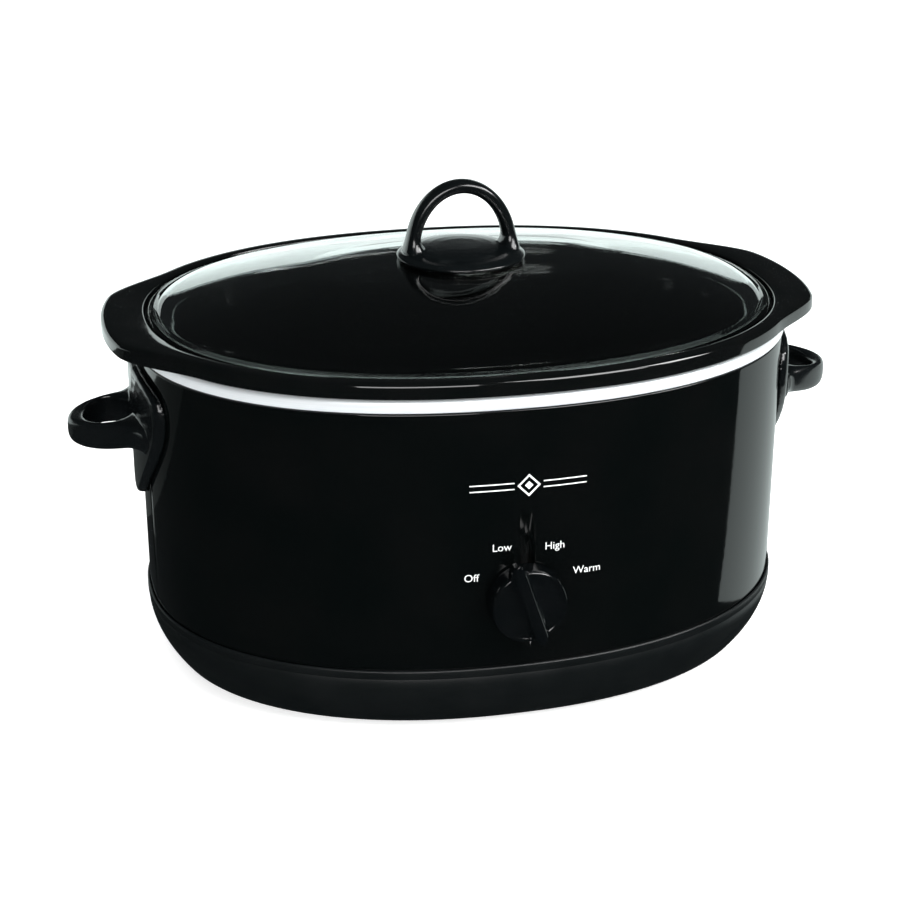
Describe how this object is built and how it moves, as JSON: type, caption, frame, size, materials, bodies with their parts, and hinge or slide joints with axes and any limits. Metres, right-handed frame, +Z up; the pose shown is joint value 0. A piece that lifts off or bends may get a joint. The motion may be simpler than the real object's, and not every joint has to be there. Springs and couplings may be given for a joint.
{
  "type": "oval slow cooker",
  "caption": "Oval electric slow cooker: black steel case on a moulded base, bright heated well, lift-out black stoneware crock with ears, clear glass lid with arched grip, front rotary knob.",
  "frame": {"origin": "on the surface that the cooker stands on, under the middle of its overall box", "axes": "+Z up, the front with the control knob faces -Y, the side handles stand out along X"},
  "size_m": [0.4318, 0.3011, 0.2592],
  "materials": {
    "base_plastic": "satin black phenolic",
    "black_enamel": "gloss black baked enamel on steel",
    "black_glaze": "gloss black glaze over stoneware",
    "bright_liner": "bright rolled sheet",
    "clear_glass": "clear toughened glass",
    "handle_plastic": "semi-gloss black phenolic",
    "knob_plastic": "gloss black phenolic",
    "mica": "pressed mica board in a thin steel band",
    "rubber": "matt black rubber",
    "sleeve": "woven glass sleeve over stranded wire",
    "switch_nylon": "moulded nylon",
    "zinc_steel": "zinc-plated steel"
  },
  "bodies": {
    "base": {"outer_shell": "black_enamel", "heating_well": "bright_liner", "base_skirt": "base_plastic", "bottom_cover": "zinc_steel", "foot_rear_right": "rubber", "foot_rear_left": "rubber", "foot_front_left": "rubber", "foot_front_right": "rubber", "cover_screw_right": "zinc_steel", "cover_screw_rear": "zinc_steel", "cover_screw_left": "zinc_steel", "cover_screw_front": "zinc_steel", "well_stud": "zinc_steel", "centre_washer": "zinc_steel", "centre_nut": "zinc_steel", "right_handle": "handle_plastic", "right_handle_screw_front": "zinc_steel", "right_handle_screw_rear": "zinc_steel", "left_handle": "handle_plastic", "left_handle_screw_front": "zinc_steel", "left_handle_screw_rear": "zinc_steel", "heater_band": "mica", "band_clamp": "zinc_steel", "clamp_screw": "zinc_steel", "rotary_switch": "switch_nylon", "switch_nut": "zinc_steel", "thermal_fuse": "zinc_steel", "fuse_clip": "zinc_steel", "supply_lead": "sleeve", "fuse_lead": "sleeve", "low_lead": "sleeve", "high_lead": "sleeve", "neutral_lead": "sleeve", "supply_crimp": "switch_nylon", "neutral_crimp": "switch_nylon", "cord_gland": "handle_plastic"},
    "crock": {"stoneware_crock": "black_glaze"},
    "lid": {"lid_glass": "clear_glass", "lid_handle": "handle_plastic", "lid_washer": "rubber", "lid_screw": "zinc_steel"},
    "knob": {"control_knob": "knob_plastic", "switch_shaft": "zinc_steel"}
  },
  "joints": [
    {"name": "crock_lift", "type": "slide", "parent": "base", "child": "crock", "axis": [0, 0, 1], "range_m": [0, 0.16]},
    {"name": "lid_lift", "type": "slide", "parent": "crock", "child": "lid", "axis": [0, 0, 1], "range_m": [0, 0.11]},
    {"name": "knob_turn", "type": "hinge", "parent": "base", "child": "knob", "pos_m": [0, -0.13225, 0.077], "axis": [0, 1, 0], "range_deg": [-36, 72]}
  ]
}
